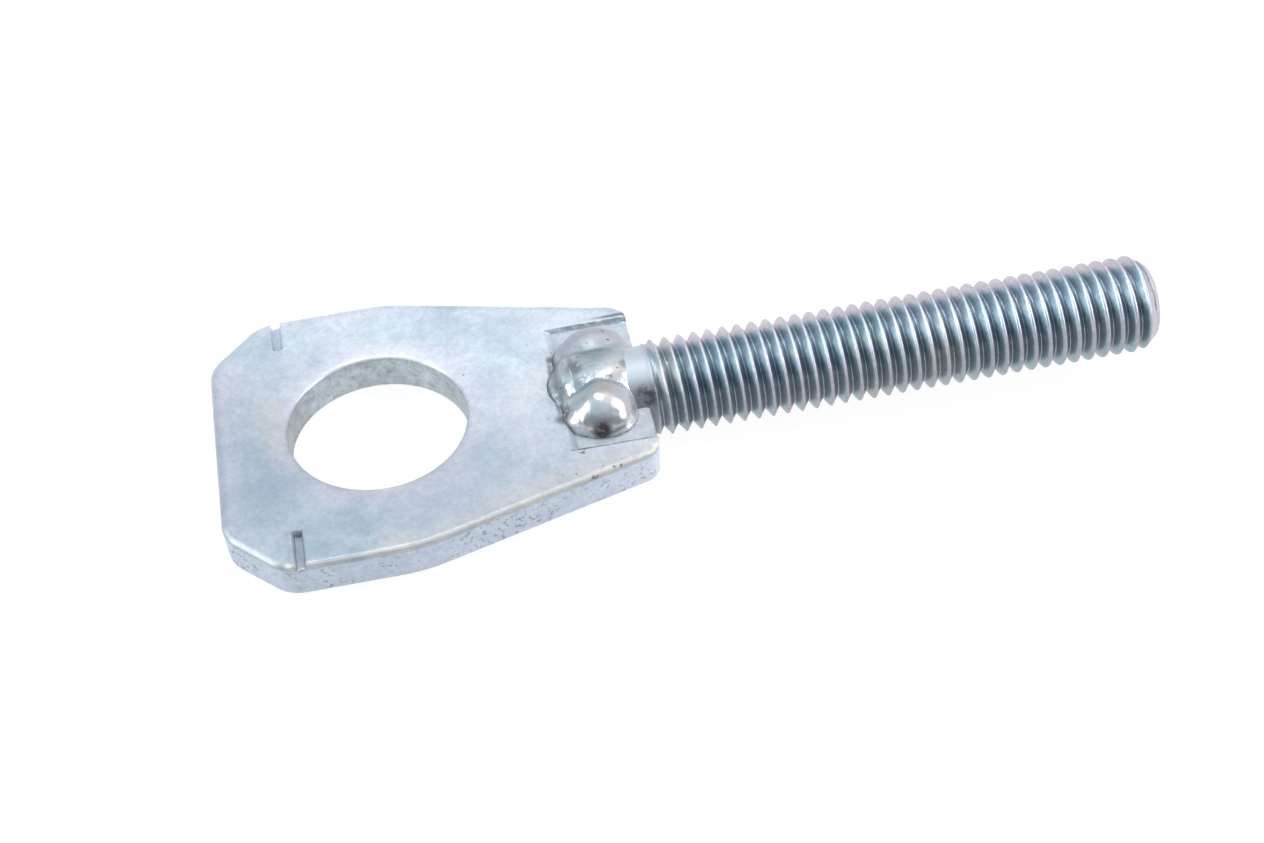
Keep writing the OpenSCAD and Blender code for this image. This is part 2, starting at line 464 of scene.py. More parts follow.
def helix_rows(theta):
    """The thread, as rows that follow the crest, so that each ends where the row a pitch on starts."""
    turns = int((BEVEL_X - THREAD_X) / PITCH) + TURNS_BELOW
    pitches = np.concatenate([HELIX_STEPS + i for i in range(-TURNS_BELOW, turns)])
    x = CREST_X + PITCH * (pitches[:, None] + (theta[None, :] - SKYLINE) / TURN)
    x = np.clip(x, THREAD_X, BEVEL_X)
    return stud_ring(x, thread_radius(x, theta[None, :]), theta[None, :])


def tip_rings(theta):
    """The bevel, which the thread's groove runs out through, and the flat end."""
    rings = []
    for share in np.linspace(0, 1, TIP_RINGS):
        x = BEVEL_X + share * TIP_LEN
        cone = CREST_R - (TIP_STEP if share > 0 else 0.0) - (CREST_R - TIP_R) * share
        rings.append(stud_ring(x, np.minimum(cone, thread_radius(x, theta)), theta))
    for share in TIP_END_SHARES:
        rings.append(stud_ring(STUD_END, np.full(len(theta), TIP_R * share), theta))
    return np.array(rings)


def helix_quads(rows, cols, first):
    """Quads of the thread's rows, with a seam that joins each row to the start of the one a pitch on."""
    faces = []
    end = first + rows
    for r in range(first, end - 1):
        low, high = r * cols, (r + 1) * cols
        for c in range(cols - 1):
            faces.append((low + c, low + c + 1, high + c + 1, high + c))
        over = r + len(HELIX_STEPS)
        if over + 1 < end:
            faces.append((low + cols - 1, over * cols, (over + 1) * cols, high + cols - 1))
    return faces


def join_doubles(mesh):
    """Joins the points that coincide and turns all faces outwards."""
    joined = bmesh.new()
    joined.from_mesh(mesh)
    bmesh.ops.remove_doubles(joined, verts=joined.verts, dist=JOIN_WITHIN * MM)
    bmesh.ops.recalc_face_normals(joined, faces=joined.faces)
    joined.to_mesh(mesh)
    joined.free()


def make_stud(material):
    """The shank, the thread and the bevelled tip, joined where they meet."""
    theta = np.linspace(0, TURN, STUD_COLUMNS, endpoint=False)
    shank = shank_rings(theta)
    helix = helix_rows(theta)
    tip = tip_rings(theta)
    cols = STUD_COLUMNS
    rings = len(shank) + len(helix) + len(tip)
    faces = ring_quads(len(shank), cols)
    faces += ring_quads(len(tip), cols, first=len(shank) + len(helix))
    faces += helix_quads(len(helix), cols, first=len(shank))
    faces.append(list(range(cols))[::-1])
    faces.append(list(range((rings - 1) * cols, rings * cols)))
    obj = mesh_object("stud_thread", np.concatenate([shank, helix, tip]), faces)
    join_doubles(obj.data)
    dress(obj, "threaded_stud", material, sharp=60)


# Welds

def sphere_gap(p, centre, r, squash=(1, 1, 1)):
    """Distance from a ball's surface, or about that from an ellipsoid's."""
    q = (p - np.array(centre)) / np.array(squash)
    return (np.linalg.norm(q, axis=-1) - r) * min(squash)


def bar_gap(p, a, b, r):
    """Distance from a round bar with ball ends."""
    a, b = np.array(a), np.array(b)
    t = np.clip(((p - a) @ (b - a)) / ((b - a) @ (b - a)), 0, 1)
    return np.linalg.norm(p - a - t[..., None] * (b - a), axis=-1) - r


def blend(a, b, k):
    """Joins two shapes with a fillet about k wide."""
    h = np.clip(0.5 + 0.5 * (b - a) / k, 0, 1)
    return b + (a - b) * h - k * h * (1 - h)


def carve(a, b, k):
    """Takes the shape b out of the shape a, with a rounded rim."""
    return -blend(-a, b, k)


def near_dome_gap(p):
    """Distance from the near dome, which is three balls run together."""
    dome = blend(sphere_gap(p, (22.0, -4.4, 1.3), 3.0), sphere_gap(p, (22.85, -4.4, 1.3), 3.0), 0.4)
    return blend(dome, sphere_gap(p, (22.4, -3.7, 1.55), 3.1), 0.7)


def weld_top_gap(p):
    """Distance from the weld on the marked face: two domes, a saddle over the shank and a toe."""
    far_dome = sphere_gap(p, (22.9, 4.4, 1.0), 3.3, (1.16, 0.95, 1.0))
    toe = bar_gap(p, (20.2, -4.2, 1.15), (20.4, 3.6, 1.15), 2.05)
    shank = bar_gap(p, (21.5, 0, STUD_Z), (23.2, 0, STUD_Z), SHANK_R + 0.05)
    saddle_high = bar_gap(p, (21.2, 0.9, 2.0), (24.4, 1.2, 2.0), 2.4)
    saddle = blend(saddle_high, bar_gap(p, (21.5, 0, 0.1), (24.2, 0, 0.1), 4.35), 0.3)
    weld = blend(blend(far_dome, near_dome_gap(p), 0.3), toe, 0.9)
    weld = blend(blend(weld, shank, 0.4), saddle, 0.5)
    # Hollows that the arc left: beside the saddle, along the toe and low on the near dome
    weld = carve(weld, bar_gap(p, (21.0, 3.0, 7.0), (25.6, 3.0, 7.0), 2.75), 0.5)
    weld = carve(weld, bar_gap(p, (18.3, -3.0, 3.0), (18.7, 3.3, 3.0), 0.55), 0.5)
    return carve(weld, sphere_gap(p, (22.0, -8.0, 3.3), 0.8), 0.6)


def weld_under_gap(p):
    """Distance from the weld on the underside: two domes, a toe and the shank between them."""
    near_dome = sphere_gap(p, (22.5, -4.0, -TOP_Z), 2.55)
    far_dome = sphere_gap(p, (22.6, 4.1, -TOP_Z), 2.5)
    toe = bar_gap(p, (19.7, -3.9, -TOP_Z), (19.7, 3.9, -TOP_Z), 1.85)
    shank = bar_gap(p, (21.5, 0, STUD_Z), (24.0, 0, STUD_Z), SHANK_R - 0.08)
    return blend(blend(blend(near_dome, far_dome, 0.3), toe, 0.7), shank, 0.25)


def found_surface(gap, centre, up, rough, seed):
    """Rings of points where gap is 0, found along rays from a centre inside, with ripples added."""
    turn, lift = np.meshgrid(np.linspace(0, TURN, WELD_COLUMNS, endpoint=False), WELD_LIFTS)
    ray = np.stack([np.cos(lift) * np.cos(turn), np.cos(lift) * np.sin(turn), up * np.sin(lift)], axis=-1)
    reach = np.full(turn.shape, WELD_REACH)
    for _ in range(WELD_TRIES):
        reach -= WELD_STRIDE * gap(centre + reach[..., None] * ray)
    p = centre + reach[..., None] * ray
    lumps = 0.6 * waves(p[..., 0] + p[..., 2], p[..., 1], size=2.6, seed=seed)
    ripples = 0.25 * waves(p[..., 0], p[..., 1] - p[..., 2], size=0.8, seed=seed + 1)
    return p + rough * (lumps + ripples)[..., None] * ray


def make_weld(name, node, material, rings):
    """A weld as a dome of rings, open below, where it is inside the plate."""
    crown = list(range((WELD_ROWS - 1) * WELD_COLUMNS, WELD_ROWS * WELD_COLUMNS))
    obj = mesh_object(name, rings, ring_quads(WELD_ROWS, WELD_COLUMNS) + [crown])
    dress(obj, node, material, sharp=80)


def make_welds(material):
    """The weld on the marked face, and the smaller one on the underside."""
    top = found_surface(weld_top_gap, np.array((22.3, -0.4, 0.6)), 1, 0.05, SEED_WELD_TOP)
    make_weld("weld_bead_top", "weld_top", material, top)
    under = found_surface(weld_under_gap, np.array((21.8, 0, -1.5)), -1, 0.06, SEED_WELD_UNDER)
    # In reverse, so that the faces look outwards
    make_weld("weld_bead_under", "weld_under", material, under[:, ::-1])


# Shader helpers

class Nodes:
    """A node tree, with a short call for each kind of node that is used."""

    def __init__(self, tree):
        self.tree = tree

    def add(self, kind, **settings):
        """A new node, with its settings."""
        node = self.tree.nodes.new(kind)
        for key, value in settings.items():
            setattr(node, key, value)
        return node

    def feed(self, socket, value):
        """Gives a socket a link, a colour as a tuple, or a plain value."""
        if isinstance(value, bpy.types.NodeSocket):
            self.tree.links.new(value, socket)
        elif isinstance(value, tuple):
            socket.default_value = (*value, 1)
        else:
            socket.default_value = value

    def work_out(self, operation, *values):
        """The result of a sum on numbers or sockets."""
        node = self.add("ShaderNodeMath", operation=operation)
        for socket, value in zip(node.inputs, values):
            self.feed(socket, value)
        return node.outputs[0]

    def plus(self, a, b):
        return self.work_out("ADD", a, b)

    def minus(self, a, b):
        return self.work_out("SUBTRACT", a, b)

    def times(self, first, *others):
        for other in others:
            first = self.work_out("MULTIPLY", first, other)
        return first

    def most(self, first, *others):
        for other in others:
            first = self.work_out("MAXIMUM", first, other)
        return first

    def fade(self, value, zero, one):
        """0 where the value is at zero, 1 where it is at one, and smooth between."""
        node = self.add("ShaderNodeMapRange", interpolation_type="SMOOTHSTEP")
        self.feed(node.inputs["From Min"], zero)
        self.feed(node.inputs["From Max"], one)
        self.feed(node.inputs["Value"], value)
        return node.outputs["Result"]

    def ramp(self, value, stops):
        """Colours along a value, from places between 0 and 1 and their colours."""
        node = self.add("ShaderNodeValToRGB")
        while len(node.color_ramp.elements) < len(stops):
            node.color_ramp.elements.new(0.5)
        for element, (place, colour) in zip(node.color_ramp.elements, stops):
            element.position = place
            element.color = (*colour, 1)
        self.feed(node.inputs["Fac"], value)
        return node.outputs["Color"]

    def mix(self, share, a, b, way="MIX"):
        """Two colours mixed, or multiplied where the way is MULTIPLY."""
        node = self.add("ShaderNodeMix", data_type="RGBA", blend_type=way)
        self.feed(node.inputs["Factor"], share)
        self.feed(node.inputs["A"], a)
        self.feed(node.inputs["B"], b)
        return next(socket for socket in node.outputs if socket.type == "RGBA")

    def axes(self, vector):
        """The X, Y and Z of a vector."""
        node = self.add("ShaderNodeSeparateXYZ")
        self.feed(node.inputs[0], vector)
        return node.outputs["X"], node.outputs["Y"], node.outputs["Z"]


class Paint(Nodes):
    """A new material, painted in layers by masks that are placed in millimetres on the object."""

    def __init__(self, name):
        self.material = bpy.data.materials.new(name)
        self.material.use_nodes = True
        super().__init__(self.material.node_tree)
        self.shader = self.tree.nodes["Principled BSDF"]
        self.coord = self.add("ShaderNodeTexCoord").outputs["Object"]
        self.x, self.y, self.z = self.axes(self.coord)
        self.colour = None

    def cover(self, share, colour):
        """Covers what is painted with a colour, by a mask."""
        self.colour = self.mix(share, self.colour, colour)

    def tint(self, colour, share=1.0):
        """Multiplies what is painted by a colour, all over or by a mask."""
        self.colour = self.mix(share, self.colour, colour, "MULTIPLY")

    def noise(self, scale, detail, rough, distortion=0.0):
        """Seamless noise over the object, with its scale in lumps per metre."""
        node = self.add("ShaderNodeTexNoise")
        self.feed(node.inputs["Scale"], scale)
        self.feed(node.inputs["Detail"], detail)
        self.feed(node.inputs["Roughness"], rough)
        self.feed(node.inputs["Distortion"], distortion)
        self.feed(node.inputs["Vector"], self.coord)
        return node.outputs["Fac"]

    def fade_mm(self, value, zero, one):
        """A fade between two places in millimetres."""
        return self.fade(value, zero * MM, one * MM)

    def near_line(self, value, place, half):
        """1 where the value is at the place, fading to 0 at the given half width, all in millimetres."""
        off = self.work_out("ABSOLUTE", self.minus(value, place * MM))
        return self.fade_mm(off, half, 0.3 * half)

    def spot(self, centre, radii, soft=0.5):
        """1 inside an ellipsoid given in millimetres and 0 outside it, with a soft edge."""
        away = self.add("ShaderNodeVectorMath", operation="SUBTRACT")
        self.feed(away.inputs[0], self.coord)
        self.feed(away.inputs[1], [c * MM for c in centre])
        scaled = self.add("ShaderNodeVectorMath", operation="DIVIDE")
        self.feed(scaled.inputs[0], away.outputs[0])
        self.feed(scaled.inputs[1], [r * MM for r in radii])
        size = self.add("ShaderNodeVectorMath", operation="LENGTH")
        self.feed(size.inputs[0], scaled.outputs[0])
        return self.fade(size.outputs["Value"], 1 + soft, 1 - soft)

    def bump(self, height, strength, distance):
        """Tilts the surface by a height, at a distance in metres."""
        node = self.add("ShaderNodeBump")
        self.feed(node.inputs["Strength"], strength)
        self.feed(node.inputs["Distance"], distance)
        self.feed(node.inputs["Height"], height)
        self.feed(self.shader.inputs["Normal"], node.outputs["Normal"])

    def finish(self, metallic, roughness):
        """Hands the colour and the surface to the shader."""
        self.feed(self.shader.inputs["Base Color"], self.colour)
        self.feed(self.shader.inputs["Metallic"], metallic)
        self.feed(self.shader.inputs["Roughness"], roughness)
        return self.material


# Plate's zinc

PLATE_CLOUDS = [(0.36, (0.40, 0.49, 0.56)), (0.5, (0.50, 0.57, 0.63)), (0.64, (0.57, 0.61, 0.66))]
PLATE_LILAC = (0.56, 0.57, 0.65)
PLATE_PALE_LILAC = (0.62, 0.62, 0.70)
PLATE_TAN = (0.66, 0.62, 0.52)
PLATE_BAND = (0.66, 0.62, 0.55)
PLATE_SEAT_SHADE = (0.33, 0.37, 0.40)
PLATE_WALL = (0.66, 0.73, 0.83)
PLATE_LIP = (0.78, 0.71, 0.61)
PLATE_BORE = [(0.32, (0.27, 0.31, 0.34)), (0.48, (0.42, 0.48, 0.52)), (0.66, (0.54, 0.59, 0.63))]
PLATE_BORE_END_SHADE = (0.20, 0.21, 0.22)
PLATE_DIRT_AND_SHADE = (0.07, 0.08, 0.09)
PLATE_GRAIN = [(0.3, (0.88, 0.88, 0.88)), (0.7, (1.05, 1.05, 1.05))]
PLATE_BLOTCHES = [(0.35, (0.92, 0.93, 0.94)), (0.62, (1.05, 1.04, 1.04))]
PLATE_PAINTED_SHEEN = [(0.0, (0.98, 0.98, 0.97)), (1.0, (1.54, 1.47, 1.41))]
PLATE_METALLIC = 0.45
PLATE_ROUGHNESS = 0.42

# Dark marks on the plate: centre and radii
PLATE_MARKS = [
    ((18.3, 4.3, 1.7), (0.35, 0.55, 0.8)),
    ((18.5, -4.4, 1.8), (0.95, 0.70, 0.8)),
    ((18.15, 0.0, 1.9), (0.30, 4.2, 0.8)),
    ((22.1, -11.85, 2), (0.16, 0.12, 0.5)),
    ((22.8, -11.75, 2), (0.12, 0.10, 0.5)),
    ((24.9, -11.6, 2), (0.2, 0.10, 0.5)),
    ((9.4, 4.4, 2), (0.12, 0.10, 0.5)),
    ((26.0, 9.3, 1.7), (2.4, 0.25, 0.6)),
]


def near_edge_band(paint, cloud):
    """A mask of the broken band along the near long edge and the near side of the squared end."""
    taper = taper_angle()
    slanted = paint.minus(paint.times(paint.x, math.cos(taper)), paint.times(paint.y, math.sin(taper)))
    outward = paint.most(paint.times(paint.y, -1.0), slanted)
    band = paint.times(paint.fade_mm(outward, 14.4, 16.8), paint.fade_mm(paint.y, 0.0, -6.0))
    return paint.times(band, paint.fade(cloud, 0.34, 0.56))


def plate_films_and_seat_shade(paint, cloud, radius):
    """Lilac in drifts, at edges and round the hole, tan beside it and at the near edge, and painted shade
    over the sunken seat under the stud.
    """
    drift = paint.noise(scale=38, detail=2, rough=0.5)
    edges = paint.most(
        paint.fade_mm(paint.x, -12.5, -16.5),
        paint.fade_mm(paint.y, 14.5, 17.5),
        paint.fade_mm(radius, 12.4, 9.8),
    )
    beside_hole = paint.spot((-10.6, 1.9, 2.0), (1.5, 4.2, 1.5), 0.6)
    # Painted shade: the sunken seat under the stud is darkened
    sunken = paint.times(paint.fade_mm(paint.z, 1.75, 1.55), paint.fade_mm(paint.x, 18.2, 19.2))
    paint.cover(paint.times(paint.fade(drift, 0.50, 0.75), 0.5), PLATE_LILAC)
    paint.cover(paint.times(edges, 0.6), PLATE_PALE_LILAC)
    paint.cover(paint.times(beside_hole, 0.3), PLATE_TAN)
    paint.cover(paint.times(near_edge_band(paint, cloud), 0.42), PLATE_BAND)
    paint.cover(paint.times(sunken, 0.34), PLATE_SEAT_SHADE)


def plate_bore(paint, radius):
    """The hole's wall: grey and torn, with painted shade towards its two ends along X."""
    inside = paint.times(paint.fade_mm(radius, 9.45, 9.3), paint.fade_mm(paint.z, 1.9, 1.6))
    torn = paint.ramp(paint.noise(scale=800, detail=5, rough=0.75, distortion=0.6), PLATE_BORE)
    # Painted shade on the hole's wall towards its two ends along X
    ends = paint.fade_mm(paint.work_out("ABSOLUTE", paint.x), 5.5, 8.5)
    paint.cover(inside, paint.mix(paint.times(ends, 0.35), torn, PLATE_BORE_END_SHADE))


def near_lip(paint):
    """A mask of the pale lip just under the face, along the near side."""
    return paint.times(
        paint.fade_mm(paint.z, 1.98, 1.92),
        paint.fade_mm(paint.z, 1.62, 1.72),
        paint.fade_mm(paint.y, -8.5, -10.5),
        paint.fade_mm(paint.x, -11.5, -9.5),
    )


def wall_pits(paint, wall, radius):
    """A mask of the pits that the punch tore in the outer walls, in patches."""
    holes = paint.fade(paint.noise(scale=2000, detail=3, rough=0.6), 0.56, 0.63)
    patch = paint.fade(paint.noise(scale=170, detail=2, rough=0.5), 0.38, 0.60)
    return paint.times(holes, patch, wall, paint.fade_mm(radius, 10.0, 10.4))


def seat_and_notch_dirt_and_shade(paint, grit):
    """Masks of the dirt and painted shade in the seat's two long walls and in the near notch's left wall."""
    # Dirt and painted shade along the seat's two long walls
    seat = paint.most(
        paint.times(paint.near_line(paint.y, SEAT_HALF, 0.12), 0.6),
        paint.near_line(paint.y, -SEAT_HALF, 0.24),
    )
    seat = paint.times(
        seat,
        paint.fade_mm(paint.x, 18.2, 18.8),
        paint.fade_mm(paint.z, 1.0, 1.2),
        paint.fade(grit, 0.38, 0.52),
    )
    # Dirt and painted shade in the near notch's left wall
    notch = paint.times(
        paint.near_line(paint.x, NOTCH_X - NOTCH_W / 2, 0.16),
        paint.fade_mm(paint.y, -12.8, -13.0),
        paint.fade_mm(paint.z, 1.2, 1.3),
    )
    return seat, notch


def plate_dirt_and_shade(paint, grit, wall, radius):
    """Dirt and painted shade in the seat and the notch, dirt in the pits, specks round the weld, and single
    marks.
    """
    seat, notch = seat_and_notch_dirt_and_shade(paint, grit)
    specks = paint.times(
        paint.fade(paint.noise(scale=900, detail=2, rough=0.5), 0.66, 0.73),
        paint.fade_mm(paint.x, 15, 19),
        paint.fade_mm(paint.z, 1.0, 1.3),
    )
    marks = [paint.spot(centre, radii) for centre, radii in PLATE_MARKS]
    paint.cover(
        paint.most(
            paint.times(seat, 0.85),
            paint.times(notch, 0.3),
            paint.times(specks, 0.7),
            paint.times(wall_pits(paint, wall, radius), 0.5),
            paint.times(paint.most(*marks), 0.75),
        ),
        PLATE_DIRT_AND_SHADE,
    )


def plate_grain_and_sheen(paint):
    """Grain, blotches, and a painted sheen: the colour brightens towards the far right."""
    grain = paint.ramp(paint.noise(scale=2300, detail=4, rough=0.7), PLATE_GRAIN)
    blotches = paint.ramp(paint.noise(scale=700, detail=3, rough=0.6, distortion=0.8), PLATE_BLOTCHES)
    # Painted sheen, brighter towards the far right
    sheen = paint.fade_mm(paint.plus(paint.y, paint.times(paint.x, 0.5)), -6, 16)
    paint.tint(paint.mix(1.0, grain, blotches, "MULTIPLY"))
    paint.tint(paint.ramp(sheen, PLATE_PAINTED_SHEEN))


def zinc_plate():
    """Satin zinc in blue clouds, with films, torn walls, dirt, painted shade, a painted sheen and grain."""
    paint = Paint("zinc_plate_satin")
    cloud = paint.noise(scale=110, detail=5, rough=0.62, distortion=0.6)
    grit = paint.noise(scale=520, detail=4, rough=0.7)
    fine = paint.noise(scale=1500, detail=3, rough=0.6)
    radius = paint.work_out("SQRT", paint.plus(paint.times(paint.x, paint.x), paint.times(paint.y, paint.y)))
    wall = paint.times(paint.fade_mm(paint.z, 1.30, 1.10), paint.fade_mm(paint.z, -2.01, -1.9))
    lip = near_lip(paint)
    paint.colour = paint.ramp(cloud, PLATE_CLOUDS)
    plate_films_and_seat_shade(paint, cloud, radius)
    paint.cover(wall, PLATE_WALL)
    paint.cover(paint.times(lip, 0.6), PLATE_LIP)
    plate_bore(paint, radius)
    plate_dirt_and_shade(paint, grit, wall, radius)
    plate_grain_and_sheen(paint)
    paint.bump(paint.plus(paint.times(fine, 0.3), paint.times(grit, 0.7)), 0.30, 0.00005)
    return paint.finish(paint.minus(PLATE_METALLIC, paint.times(lip, 0.40)), PLATE_ROUGHNESS)


# Stud's zinc

WHITE = (1, 1, 1)
BLACK = (0, 0, 0)
CREST_HIGHLIGHT = (0.82, 0.80, 0.84)
ROOT_HIGHLIGHT = (0.66, 0.82, 0.92)

# Colours across a pitch, from crest to crest: right flank, root and left flank. They paint light and shade:
# a highlight on the crest, a shaded brown-grey right flank, a highlight line in the root and a teal left
# flank
THREAD_LIGHT_AND_SHADE = [
    (0.00, CREST_HIGHLIGHT),
    (0.06, (0.76, 0.73, 0.78)),
    (0.14, (0.50, 0.46, 0.47)),
    (0.44, (0.42, 0.38, 0.38)),
    (0.485, ROOT_HIGHLIGHT),
    (0.505, ROOT_HIGHLIGHT),
    (0.53, (0.36, 0.52, 0.58)),
    (0.78, (0.44, 0.66, 0.73)),
    (0.91, (0.56, 0.70, 0.75)),
    (0.97, CREST_HIGHLIGHT),
]

# Where the crests and the line of the root are matt
THREAD_MATT = [
    (0.04, WHITE),
    (0.13, BLACK),
    (0.47, BLACK),
    (0.495, WHITE),
    (0.52, BLACK),
    (0.88, BLACK),
    (0.97, WHITE),
]
STUD_TONES = [(0.3, (0.86, 0.92, 0.95)), (0.7, (1.10, 1.06, 1.10))]
STUD_GRAIN = [(0.3, (0.80, 0.80, 0.80)), (0.7, (1.12, 1.12, 1.12))]
STUD_TAN = (0.80, 0.74, 0.62)
STUD_SHADE = (0.17, 0.16, 0.18)
STUD_FILM_AND_LIGHT = (0.70, 0.60, 0.64)
NECK_COLOUR = (0.60, 0.65, 0.70)
NECK_SHADE = (0.16, 0.18, 0.20)
TIP_COLOUR = (0.56, 0.56, 0.60)
SMUDGE = (0.09, 0.07, 0.07)
STUD_MATT = 0.6
STUD_ROUGHNESS = 0.35


def thread_phase(paint, axis):
    """0 along the crests and 1 a pitch further on, wound as the mesh is."""
    turn = paint.work_out("ARCTAN2", paint.times(paint.y, -1.0), axis)
    turns = paint.work_out("DIVIDE", paint.minus(turn, SKYLINE), TURN)
    pitches = paint.work_out("DIVIDE", paint.minus(paint.x, CREST_X * MM), PITCH * MM)
    return paint.work_out("FRACT", paint.minus(pitches, turns))


def thread_light_and_tones(paint, phase):
    """The colours of crests, flanks and roots, which paint highlights on the crests and in the roots and
    shade on the right flanks, with a slow change of tone and tan drifts.
    """
    # Painted light and shade across each pitch
    paint.colour = paint.ramp(phase, THREAD_LIGHT_AND_SHADE)
    paint.tint(paint.ramp(paint.noise(scale=150, detail=3, rough=0.5), STUD_TONES))
    drift = paint.fade(paint.noise(scale=60, detail=2, rough=0.5), 0.58, 0.7)
    paint.cover(paint.times(drift, 0.35), STUD_TAN)


def thread_shade_and_films(paint, axis, thread):
    """Painted shade on the lower side, a pale matt film on the upper crests that also paints light on them,
    and grain; returns the upper film's mask.
    """
    height = paint.plus(paint.times(paint.y, 0.72), paint.times(axis, 0.69))
    lit_cap = paint.times(paint.fade_mm(height, 3.3, 4.2), thread)
    under = paint.times(paint.fade_mm(height, -0.8, -2.6), thread)
    # Painted shade on the thread's lower side
    paint.cover(paint.times(under, 0.5), STUD_SHADE)
    # Pale matt film on the upper crests, which also paints light on them
    paint.cover(paint.times(lit_cap, 0.8), STUD_FILM_AND_LIGHT)
    paint.tint(paint.ramp(paint.noise(scale=1900, detail=4, rough=0.75), STUD_GRAIN), thread)
    return lit_cap


def neck_and_tip(paint):
    """The pale, dull neck with painted shade on its near side and two brown smudges, and the dull bevelled
    tip; returns the mask of both.
    """
    neck = paint.fade_mm(paint.x, 28.3, 27.6)
    tip = paint.fade_mm(paint.x, 78.5, 78.9)
    grit = paint.fade(paint.noise(scale=900, detail=4, rough=0.7), 0.40, 0.55)
    smudges = paint.most(
        paint.spot((27.0, -3.55, 2.5), (1.0, 0.9, 1.2), 0.4),
        paint.times(paint.spot((26.6, -4.5, 0.5), (0.8, 0.8, 0.8), 0.4), 0.6),
    )
    paint.cover(neck, NECK_COLOUR)
    paint.cover(tip, TIP_COLOUR)
    # Painted shade on the neck's near side
    paint.cover(paint.times(neck, paint.fade_mm(paint.y, -1.8, -3.8), 0.8), NECK_SHADE)
    paint.cover(paint.times(smudges, grit, 0.85), SMUDGE)
    return paint.plus(neck, tip)


def zinc_stud():
    """Bright zinc on the thread, with matt crests and roots and painted light and shade, and dull zinc on
    the neck and the tip.
    """
    paint = Paint("zinc_stud_bright")
    axis = paint.minus(paint.z, STUD_Z * MM)
    phase = thread_phase(paint, axis)
    thread = paint.fade_mm(paint.x, 27.8, 28.6)
    strip = paint.times(paint.ramp(phase, THREAD_MATT), thread)
    thread_light_and_tones(paint, phase)
    lit_cap = thread_shade_and_films(paint, axis, thread)
    dull = neck_and_tip(paint)
    matt = paint.times(paint.most(dull, strip, lit_cap), STUD_MATT)
    return paint.finish(paint.minus(1.0, matt), paint.plus(STUD_ROUGHNESS, paint.times(dull, 0.13)))


# Weld metal

WELD_CLOUDS = [(0.36, (0.38, 0.45, 0.48)), (0.52, (0.54, 0.58, 0.61)), (0.66, (0.68, 0.67, 0.64))]
WELD_PINK = (0.58, 0.55, 0.60)
WELD_HOLLOW = (0.34, 0.42, 0.42)
WELD_BRIGHT = (0.80, 0.80, 0.78)
WELD_WARM = (0.66, 0.48, 0.40)
WELD_BURNT_AND_SHADE = (0.085, 0.060, 0.055)
WELD_METALLIC = 0.7
WELD_ROUGHNESS = 0.24

# Burnt spots and dirt on the welds, and painted shade along two creases: centre, radii and strength
WELD_MARKS = [
    ((21.8, -7.45, 2.5), (0.95, 1.0, 1.25), 0.95),
    ((20.4, 0.2, 4.3), (0.8, 0.9, 0.8), 0.5),
    ((25.5, -0.4, 4.3), (0.6, 0.6, 0.8), 0.45),
    ((19.6, -1.2, 2.2), (0.5, 0.45, 1.0), 0.8),
    ((19.9, 1.6, 2.4), (0.4, 0.4, 0.8), 0.55),
    ((18.3, 4.0, 1.6), (0.5, 0.6, 0.8), 0.8),
    ((18.8, -4.1, 2.0), (1.1, 0.9, 1.1), 0.95),
    # Painted shade along the crease at the saddle's left edge
    ((20.1, 0.9, 4.0), (0.28, 1.7, 0.9), 0.5),
    # Painted shade along the crease where the far dome meets the saddle
    ((22.6, 2.4, 4.2), (1.6, 0.5, 0.6), 0.35),
]


def weld_tints(paint, cloud, far):
    """Pink on the far dome, a grey-green hollow beside it, and a bright near dome with a warm top."""
    hollow = paint.spot((22.6, 3.3, 4.1), (2.0, 0.7, 1.0))
    near = paint.fade_mm(paint.y, -2.0, -3.6)
    warm = paint.times(paint.spot((22.1, -3.4, 4.4), (1.5, 0.9, 0.8), 0.6), paint.fade(cloud, 0.36, 0.56))
    paint.cover(paint.times(far, 0.7), WELD_PINK)
    paint.cover(paint.times(hollow, 0.6), WELD_HOLLOW)
    paint.cover(paint.times(near, 0.6), WELD_BRIGHT)
    paint.cover(paint.times(warm, 0.7), WELD_WARM)


def weld_stains_and_shade(paint, grit):
    """Burnt spots, dirt and painted shade round the foot and the heel, painted shade along two creases, and
    specks; returns their mask.
    """
    # Dirt and painted shade round the weld's foot and heel
    foot = paint.times(paint.fade_mm(paint.z, 1.75, 1.45), paint.fade_mm(paint.z, -0.5, 0.2), 0.65)
    heel = paint.times(paint.fade_mm(paint.z, 2.75, 2.1), paint.fade_mm(paint.x, 19.6, 18.6), 0.75)
    marks = [paint.times(paint.spot(centre, radii, 0.45), share) for centre, radii, share in WELD_MARKS]
    dark_patches = paint.times(paint.most(foot, heel, *marks), paint.fade(grit, 0.32, 0.50))
    specks = paint.times(
        paint.fade(paint.noise(scale=1400, detail=2, rough=0.5), 0.66, 0.74),
        paint.fade_mm(paint.y, -3.0, -1.5),
        0.7,
    )
    stains_and_shade = paint.most(dark_patches, specks)
    paint.cover(stains_and_shade, WELD_BURNT_AND_SHADE)
    return stains_and_shade


